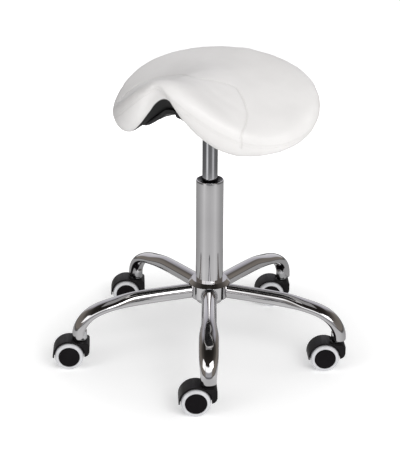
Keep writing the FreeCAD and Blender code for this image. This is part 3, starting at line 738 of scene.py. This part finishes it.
def makeColumn():
    outer, edge = column["radius"], column["edge"]
    inner = outer - column["wall"]
    foot = (inner - column["narrowing"], column["bottom"] + edge)
    outline = [foot, (column["foot"], column["bottom"]),
               (outer, column["taperTop"]), (outer, column["taperTop"] + column["low"]),
               (outer, column["top"] - column["high"]), (outer, column["top"] - edge),
               (outer - edge, column["top"]), (inner, column["top"]), (inner, column["taperTop"]), foot]
    piece = turnPiece("columnTube", outline, 128, 0.25)
    return dressPiece(piece, finishes["base_chrome"], "base_chrome", "base", "column_tube")


def makeBush():
    outer = column["radius"] - column["wall"] - bush["fit"]
    top, bore, mouth = bush["top"], bush["bore"], bush["mouth"]
    outline = [(bore, top - bush["length"]), (outer, top - bush["length"]), (outer, top),
               (outer - bush["lip"], top), (bore + mouth, top - bush["dish"]),
               (bore, top - bush["dish"] - mouth), (bore, top - bush["length"])]
    piece = turnPiece("guideBush", outline, 128, 0.3)
    return dressPiece(piece, finishes["bush_black"], "bush_black", "base", "guide_bush")


def makeGasTube():
    outer, bottom, top = gasTube["radius"], gasTube["bottom"], gasTube["top"]
    edge, topEdge, lid = gasTube["edge"], gasTube["topEdge"], gasTube["lid"]
    inner = outer - gasTube["wall"]
    outline = [(inner, bottom), (outer - edge, bottom), (outer, bottom + edge),
               (outer, bottom + gasTube["low"]), (outer, gasTube["taperStart"] - gasTube["high"]),
               (outer, gasTube["taperStart"]), (gasTube["topRadius"], top - topEdge),
               (gasTube["topRadius"] - topEdge, top), (inner - lid, top), (inner - lid, top - lid),
               (inner, top - lid), (inner, bottom)]
    piece = turnPiece("gasTube", outline, 96, 0.2)
    return dressPiece(piece, finishes["tube_chrome"], "tube_chrome", "seat", "gas_cylinder")


def legBearing(index):
    x, y = joints["caster_swivel_" + casters[index]]["pos_m"][:2]
    return math.atan2(y, x)


# The hub, with a shallow recess round each leg where the tube goes in
def makeHub():
    bore = column["radius"] + hub["fit"]
    outer, chamfer = hub["radius"], hub["chamfer"]
    foot = (bore - hub["narrowing"], hub["bottom"])
    outline = [foot, (outer - chamfer / 2, hub["bottom"]), (outer, hub["bottom"] + chamfer / 2),
               (outer, hub["top"] - chamfer), (outer - chamfer, hub["top"]), (bore, hub["top"]), foot]
    piece = turnPiece("hubBody", outline, 160, 0.0)
    for index in range(5):
        bearing = legBearing(index)
        out = hub["recessMiddle"] * mm
        selectNothing()
        bpy.ops.mesh.primitive_cylinder_add(
            vertices=64, radius=(legTube["radius"] + hub["recess"]) * mm, depth=hub["recessDepth"] * mm,
            location=(out * math.cos(bearing), out * math.sin(bearing), legTube["startHeight"] * mm),
            rotation=(math.pi / 2, 0, bearing + math.pi / 2))
        cutter = bpy.context.object
        applyModifier(piece, "BOOLEAN", object=cutter, operation="DIFFERENCE", solver="EXACT")
        bpy.data.objects.remove(cutter)
    roundEdges(piece, hub["edge"], 35)
    smoothByAngle(piece, 30)
    return dressPiece(piece, finishes["base_chrome"], "base_chrome", "base", "base_hub")


makeColumn()
makeBush()
makeGasTube()
makeHub()
print("column and hub made")


# Legs

# Corners of the leg's line, and a smooth line through them
def legSpine():
    r, z = hub["radius"] - legTube["root"], legTube["startHeight"]
    corners = [Vector((r, 0, z))]
    for length, down in [(legTube["root"], legLine[0][1])] + legLine:
        r += length * math.cos(math.radians(down))
        z -= length * math.sin(math.radians(down))
        corners.append(Vector((r, 0, z)))
    spine = []
    for i in range(len(corners) - 1):
        before, after = corners[max(i - 1, 0)], corners[min(i + 2, len(corners) - 1)]
        spine += smoothBetween(before, corners[i], corners[i + 1], after, 6)
    return evenPoints(spine + corners[-1:], legTube["ringStep"]) + corners[-1:]


# Rings of the tube from the hub to its lower end: place, tilt, depth and width
def legRings():
    spine = legSpine()
    roundSize = 2 * legTube["radius"]
    rings = []
    for i, point in enumerate(spine):
        run = spine[min(i + 1, len(spine) - 1)] - spine[max(i - 1, 0)]
        flat = ease((point.x - legTube["roundUntil"]) / (legTube["flatFrom"] - legTube["roundUntil"]))
        bent = ease((legTube["narrowFrom"] - point.z) / (legTube["narrowFrom"] - legTube["endHeight"]))
        width = roundSize + (legTube["flatWidth"] - roundSize) * flat
        height = roundSize + (legTube["flatHeight"] - roundSize) * flat
        width += (legTube["endWidth"] - width) * bent
        height += (legTube["endDepth"] - height) * bent
        rings.append((point.x, point.z, math.atan2(run.z, run.x), height, width))
    return rings


def makeLeg():
    rings = []
    for r, z, tilt, height, width in legRings():
        selectNothing()
        bpy.ops.mesh.primitive_circle_add(vertices=legTube["sides"], radius=0.5 * mm,
                                          location=(r * mm, 0, z * mm), rotation=(0, math.pi / 2 - tilt, 0))
        bpy.context.object.scale = (height, width, 1)
        bpy.ops.object.transform_apply(location=True, rotation=True, scale=True)
        rings.append(bpy.context.object)
    piece = joinPieces(rings)
    piece.name = "legTube"
    startEditing(piece)
    bpy.ops.mesh.select_all(action="SELECT")
    bpy.ops.mesh.bridge_edge_loops()
    bpy.ops.mesh.normals_make_consistent(inside=False)
    bpy.ops.mesh.select_all(action="DESELECT")
    finishEditing()
    openTrough(piece)
    applyModifier(piece, "SOLIDIFY", thickness=legTube["wall"] * mm, offset=-1, use_rim=True,
                  use_even_offset=True)
    roundEdges(piece, legTube["edge"], 50)
    smoothByAngle(piece, 50)
    return piece


# The underside is cut away along a straight line, from the run to the lip at the lower end
def openTrough(piece):
    high = Vector((legTube["openFrom"] * mm, 0, legTube["openHeight"] * mm))
    lowRadius = legTube["endRadius"] + legTube["endDepth"] / 2 - legTube["lip"]
    low = Vector((lowRadius * mm, 0, legTube["endHeight"] * mm))
    cutNormal = (low - high).cross(Vector((0, 1, 0))).normalized()
    if cutNormal.x > 0:
        cutNormal = -cutNormal
    for face in piece.data.polygons:
        face.select = face.center.x > (legTube["openFrom"] - legTube["openMargin"]) * mm
    bpy.ops.object.mode_set(mode="EDIT")
    bpy.ops.mesh.select_mode(type="FACE")
    bpy.ops.mesh.bisect(plane_co=high, plane_no=cutNormal, clear_outer=True)
    bpy.ops.mesh.select_all(action="DESELECT")
    finishEditing()


leg = makeLeg()
for index in range(5):
    piece = copyPiece(leg, "legTube_" + casters[index])
    placePiece(piece, Matrix.Rotation(legBearing(index), 4, "Z"))
    dressPiece(piece, finishes["base_chrome"], "base_chrome", "base", "leg_" + casters[index])
bpy.data.objects.remove(leg)
print("legs made")


# Casters

socket = {"radius": 10.5, "bottom": 55.0, "height": 17.0, "fit": 0.03, "edge": 0.8, "topEdge": 1.5}
stem = {
    "radius": 5.5, "flange": 9.0, "flangeHeight": 2.4, "gap": 0.05, "pin": 3.6, "pinBottom": 38.0,
    "edge": 0.4, "grooveAbove": 1.5, "grooveSlope": 1.5, "groove": 1.2, "head": 5.0, "tip": 84.0, "flat": 0.8,
}
# the stem's rounded head: how far in from its radius, and how far below its tip
stemHead = [(0.6, 4.0), (0.8, 2.0), (1.6, 0.9), (3.0, 0.2)]
# measured outwards from the middle between the two wheels: "inner" to "outer", domed by a few tenths
wheel = {
    "radius": 26.0, "outer": 22.3, "inner": 5.3, "cap": 19.1, "rim": 21.6, "shoulder": 17.5, "edge": 24.4,
    "boss": 8.0, "hollow": 3.0, "rimWall": 3.5, "fit": 0.05, "capEdge": 1.6, "lip": 0.9, "flat": 0.6,
}
# the cap's dome: shares of its radius, and how far each is below the middle
capDome = [(0.86, 0.30), (0.6, 0.10), (0.3, 0.02)]


def makeSocket():
    outer, bottom = socket["radius"], socket["bottom"]
    top = bottom + socket["height"]
    bore = stem["radius"] + socket["fit"]
    edge, topEdge = socket["edge"], socket["topEdge"]
    outline = [(bore, bottom), (outer - edge, bottom), (outer, bottom + edge), (outer, top - topEdge),
               (outer - topEdge, top), (bore, top), (bore, bottom)]
    return turnPiece("stemSocket", outline, 64, 0.25)


def makeStem():
    outer, tip, pin, flange = stem["radius"], stem["tip"], stem["pin"], stem["flange"]
    flangeTop = socket["bottom"] - stem["gap"]
    flangeFoot = socket["bottom"] - stem["flangeHeight"]
    groove = socket["bottom"] + socket["height"] + stem["grooveAbove"]
    neck = outer - stem["groove"]
    outline = [(pin - stem["edge"], stem["pinBottom"]), (pin, stem["pinBottom"] + stem["edge"]),
               (pin, flangeFoot), (flange, flangeFoot), (flange, flangeTop), (outer, flangeTop),
               (outer, groove), (neck, groove + stem["grooveSlope"]), (neck, tip - stem["head"])]
    outline += [(outer - inset, tip - drop) for inset, drop in stemHead]
    return turnPiece("casterStem", outline + [(stem["flat"], tip)], 64, 0.15)


def makeCap():
    outer, inner, cap, boss = wheel["outer"], wheel["inner"], wheel["cap"], wheel["boss"]
    hollow = inner + wheel["hollow"]
    rim = wheel["rim"] - wheel["fit"]
    wall = wheel["rim"] - wheel["rimWall"]
    outline = [(boss, inner), (boss, hollow), (wall, hollow), (wall, inner), (rim, inner),
               (rim, wheel["shoulder"]), (cap, wheel["shoulder"]), (cap, outer - wheel["capEdge"]),
               (cap - 0.3, outer - 1.1), (cap - 1.2, outer - 0.54)]
    outline += [(cap * share, outer - drop) for share, drop in capDome]
    return turnPiece("wheelCap", outline + [(wheel["flat"], outer)], 96, 0.0, 50)


def makeTread():
    outer, inner, shoulder = wheel["outer"], wheel["inner"], wheel["shoulder"]
    radius, rim, edge, lip = wheel["radius"], wheel["rim"], wheel["edge"], wheel["lip"]
    cap = wheel["cap"] + wheel["fit"]
    outline = [(rim, inner), (edge, inner), (radius - 0.5, inner + 2.2), (radius, inner + 5.0),
               (radius, shoulder - 1.6), (radius - 0.25, shoulder), (radius - 0.6, shoulder + 1.4),
               (edge, outer - 1.5), (edge - 1.0, outer - lip), (wheel["cap"] + lip, outer - lip),
               (cap, outer - wheel["capEdge"]), (cap, shoulder), (rim, shoulder), (rim, inner)]
    return turnPiece("wheelTread", outline, 96, 0.3, 40)


# Stands a wheel, turned about Z, on its axle: Z becomes the outward direction
def wheelPlacement(name):
    joint = joints["wheel_spin_" + name]
    out = Vector(joint["axis"]) * (1 if name[-1] == "b" else -1)
    up = Vector((0, 0, 1))
    along = up.cross(out)
    turn = Matrix((along, up, out)).transposed().to_4x4()
    return Matrix.Translation(Vector(joint["pos_m"])) @ turn


# A copy of a CAD node at its own size, shaded smooth up to its edges
def cleanCopy(nodeName, name, slotName):
    piece = mergedCopy(nodeName, name, 0.004 * mm)
    smoothByAngle(piece, 28)
    return dressPiece(piece, finishes[slotName], slotName, nodes[nodeName]["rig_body"], nodeName)


def joinCopies(pattern, name, placements):
    twins = []
    for placement in placements:
        twin = copyPiece(pattern, name)
        placePiece(twin, placement)
        twins.append(twin)
    joined = joinPieces(twins)
    bpy.data.objects.remove(pattern)
    return joined


stemPlaces = [Matrix.Translation(Vector((*joints["caster_swivel_" + c]["pos_m"][:2], 0))) for c in casters]
for make, title, node in ((makeSocket, "stemSockets", "stem_sockets"),
                          (makeStem, "casterStems", "caster_stems")):
    piece = joinCopies(make(), title, stemPlaces)
    dressPiece(piece, finishes["stem_chrome"], "stem_chrome", "base", node)
cap, tread = makeCap(), makeTread()
for c in casters:
    for side in ("a", "b"):
        body = "wheel_" + c + side
        for pattern, title, finish, node in ((cap, "wheelCap_", "cap_black", "wheel_core_"),
                                             (tread, "wheelTread_", "tread_grey", "wheel_tread_")):
            piece = copyPiece(pattern, title + c + side)
            placePiece(piece, wheelPlacement(c + side))
            dressPiece(piece, finishes[finish], finish, body, node + c + side)
    cleanCopy("caster_hood_" + c, "casterHood_" + c, "hood_black")
bpy.data.objects.remove(cap)
bpy.data.objects.remove(tread)
print("casters made")


# What carries over from the CAD

slotOf = {part["node"]: part["material_slot"] for part in frame["record"]["subparts"]}
for nodeName in ("seat_shell", "shell_lining", "seat_bracket", "lift_lever", "lever_grip"):
    cleanCopy(nodeName, nodeName.replace("_", " ").title().replace(" ", ""), slotOf[nodeName])
for nodeName, node in nodes.items():
    node.data.materials.clear()
    node.data.materials.append(finishes[slotOf[nodeName]])
print("mechanism dressed")


# Floor, light and camera

# metres: the paper glows from near to far, and what the metal mirrors of it changes at "farFrom"
floor = {
    "radius": 1.7, "colour": (0.94, 0.94, 0.94), "glowNear": 0.24, "glowFar": 1.1, "glowFrom": 0.2,
    "glowTo": 0.8, "bounce": 0.30, "farFrom": 0.90, "farBlend": 0.03,
}
# the lens: degrees, metres, and its focal length in pixels of a picture 457 pixels high
photo = {"azimuth": 33.0, "distance": 2.4631, "height": 1.2601, "down": 22.494, "yaw": 0.407, "roll": 0.212,
         "focal": 1467.8, "pixels": 457}
# what the metal mirrors of the floor: grey by the bearing from the lens, in turns
floorBands = {
    "near": [(0.0, 0.30), (0.23, 0.55), (0.31, 0.72), (0.37, 0.90), (0.43, 0.76), (0.5, 0.70), (0.57, 0.76),
             (0.63, 0.86), (0.69, 0.70), (0.77, 0.52), (1.0, 0.34)],
    "far": [(0.0, 0.16), (0.31, 0.17), (0.35, 0.45), (0.372, 1.2), (0.40, 1.0), (0.44, 0.26), (0.5, 0.20),
            (0.57, 0.26), (0.61, 0.75), (0.64, 0.85), (0.67, 0.42), (0.70, 0.20), (1.0, 0.16)],
}
selectNothing()
bpy.ops.mesh.primitive_circle_add(vertices=128, radius=floor["radius"], fill_type="NGON", location=(0, 0, 0))
ground = bpy.context.object
ground.name = "studioFloor"


def addRamp(tree, value, bands):
    ramp = addNode(tree, "ValToRGB")
    while len(ramp.color_ramp.elements) < len(bands):
        ramp.color_ramp.elements.new(0.5)
    for element, (place, colour) in zip(ramp.color_ramp.elements, bands):
        element.position = place
        element.color = (*colour, 1) if isinstance(colour, tuple) else (colour, colour, colour, 1)
    tree.links.new(value, ramp.inputs["Fac"])
    return ramp.outputs["Color"]


# Direction at a bearing and a height in degrees, where the lens stands at photo["azimuth"]
def directionAt(azimuth, elevation=0.0):
    a, e = math.radians(azimuth), math.radians(elevation)
    return Vector((math.sin(a) * math.cos(e), -math.cos(a) * math.cos(e), math.sin(e)))


def shareAlong(tree, direction, axis):
    dot = addNode(tree, "VectorMath", operation="DOT_PRODUCT")
    dot.inputs[1].default_value = axis
    tree.links.new(direction, dot.inputs[0])
    return dot.outputs["Value"]


toLens = directionAt(photo["azimuth"])
toRight = directionAt(photo["azimuth"] + 90)


# Bearing of a direction from the lens's side of the stool, 0 to 1 with the lens at the middle
def bearingFromLens(tree, direction):
    angle = addNode(tree, "Math", operation="ARCTAN2")
    tree.links.new(shareAlong(tree, direction, toRight), angle.inputs[0])
    tree.links.new(shareAlong(tree, direction, toLens), angle.inputs[1])
    return spanBetween(tree, angle.outputs["Value"], -math.pi, math.pi)


# White paper that runs out into white, and a grey banded room floor in the metal
def makeFloorPaper():
    material, tree, shader = newSurface("floorPaper", Roughness=0.9, Emission_Strength=1.0,
                                        Specular_IOR_Level=0.0)
    place = objectPosition(tree)
    distance = addNode(tree, "VectorMath", operation="LENGTH")
    tree.links.new(place, distance.inputs[0])
    away = distance.outputs["Value"]
    glow = easeBetween(tree, away, floor["glowFrom"], floor["glowTo"], floor["glowNear"], floor["glowFar"])
    bearing = bearingFromLens(tree, place)
    isFar = easeBetween(tree, away, floor["farFrom"], floor["farFrom"] + floor["farBlend"])
    bands = blendColours(tree, isFar, addRamp(tree, bearing, floorBands["near"]),
                         addRamp(tree, bearing, floorBands["far"]))
    path = addNode(tree, "LightPath")
    mirrored, seen = path.outputs["Is Glossy Ray"], path.outputs["Is Camera Ray"]
    unseen = blendColours(tree, mirrored, (floor["bounce"],) * 3, bands)
    paper = blendColours(tree, mirrored, floor["colour"], (0.0, 0.0, 0.0))
    tree.links.new(paper, shader.inputs["Base Color"])
    tree.links.new(blendColours(tree, seen, unseen, glow), shader.inputs["Emission Color"])
    return material


ground.data.materials.append(makeFloorPaper())


# bearings from the lens and heights in degrees, sizes in metres, power in watts
lights = {
    "keyLight": {"azimuth": 30, "elevation": 34, "size": (1.6, 1.2), "power": 24},
    "fillLight": {"azimuth": -50, "elevation": 28, "size": (1.4, 1.4), "power": 10},
    "topLight": {"azimuth": 180, "elevation": 70, "size": (2.0, 2.0), "power": 5},
}
lightAim = Vector((0, 0, 0.3))
lightDistance = 3.0


def addSoftbox(name, box):
    place = directionAt(photo["azimuth"] + box["azimuth"], box["elevation"]) * lightDistance
    bpy.ops.object.light_add(type="AREA", location=place + lightAim)
    light = bpy.context.object
    light.name = name
    light.data.shape = "RECTANGLE"
    light.data.size, light.data.size_y = box["size"]
    light.data.energy = box["power"]
    light.rotation_euler = (lightAim - light.location).to_track_quat("-Z", "Y").to_euler()


for name, box in lights.items():
    addSoftbox(name, box)

# the room by the height of a direction, 0 straight down to 1 straight up
roomBands = {
    "back": [(0.50, (0.20, 0.20, 0.21)), (0.52, (0.95, 0.95, 0.97)), (0.68, (0.76, 0.75, 0.80)),
             (0.80, (0.60, 0.59, 0.64)), (0.87, (0.045, 0.04, 0.035)), (1.0, (0.02, 0.018, 0.016))],
    "front": [(0.50, (0.20, 0.20, 0.21)), (0.54, (0.55, 0.55, 0.57)), (0.66, (0.50, 0.50, 0.52)),
              (0.70, (1.9, 1.9, 1.9)), (0.79, (1.8, 1.8, 1.8)), (0.83, (0.045, 0.04, 0.035)),
              (1.0, (0.02, 0.018, 0.016))],
    "side": [(0.50, (0.16, 0.15, 0.14)), (0.53, (0.30, 0.27, 0.24)), (0.72, (0.26, 0.235, 0.21)),
             (0.84, (0.10, 0.09, 0.08)), (1.0, (0.02, 0.018, 0.016))],
}
# where one wall gives way to the next, as shares of a direction that point to the lens and to its sides
roomTurn = {"front": (-0.12, 0.12), "side": (0.42, 0.62)}
# the soft light on what isn't metal: where it comes from, and its strength away from there and towards it
ambient = {"azimuth": 32, "elevation": 30, "from": -0.5, "away": 0.13, "towards": 0.82}
paperWhite = (1.1, 1.1, 1.1)


# The room: white to the lens, banded walls to the metal, and soft light from one side to all the rest
def makeStudioWorld():
    world = bpy.data.worlds.new("studio")
    bpy.context.scene.world = world
    world.use_nodes = True
    tree = world.node_tree
    direction = addNode(tree, "TexCoord").outputs["Generated"]
    height = spanBetween(tree, shareAlong(tree, direction, (0, 0, 1)), -1, 1)
    ramps = {name: addRamp(tree, height, bands) for name, bands in roomBands.items()}
    sideways = addNode(tree, "Math", operation="ABSOLUTE")
    tree.links.new(shareAlong(tree, direction, toRight), sideways.inputs[0])
    lensward = easeBetween(tree, shareAlong(tree, direction, toLens), *roomTurn["front"])
    aside = easeBetween(tree, sideways.outputs["Value"], *roomTurn["side"])
    room = blendColours(tree, lensward, ramps["back"], ramps["front"])
    room = blendColours(tree, aside, room, ramps["side"])
    source = directionAt(photo["azimuth"] + ambient["azimuth"], ambient["elevation"])
    soft = easeBetween(tree, shareAlong(tree, direction, source), ambient["from"], 1.0, ambient["away"],
                       ambient["towards"])
    path = addNode(tree, "LightPath")
    lit = blendColours(tree, path.outputs["Is Diffuse Ray"], room, soft)
    final = blendColours(tree, path.outputs["Is Camera Ray"], lit, paperWhite)
    tree.links.new(final, tree.nodes["Background"].inputs["Color"])


makeStudioWorld()
bpy.context.scene.view_settings.view_transform = "Standard"

bpy.ops.object.camera_add(location=toLens * photo["distance"] + Vector((0, 0, photo["height"])))
camera = bpy.context.object
camera.name = "photoCamera"
camera.data.sensor_width = 36.0
camera.data.lens = photo["focal"] / photo["pixels"] * camera.data.sensor_width
turn = Matrix.Rotation(math.radians(photo["azimuth"] + photo["yaw"]), 3, "Z")
turn @= Matrix.Rotation(math.radians(90 - photo["down"]), 3, "X")
turn @= Matrix.Rotation(math.radians(photo["roll"]), 3, "Z")
camera.rotation_euler = turn.to_euler()
bpy.context.scene.camera = camera
selectNothing()

print("scene finished")
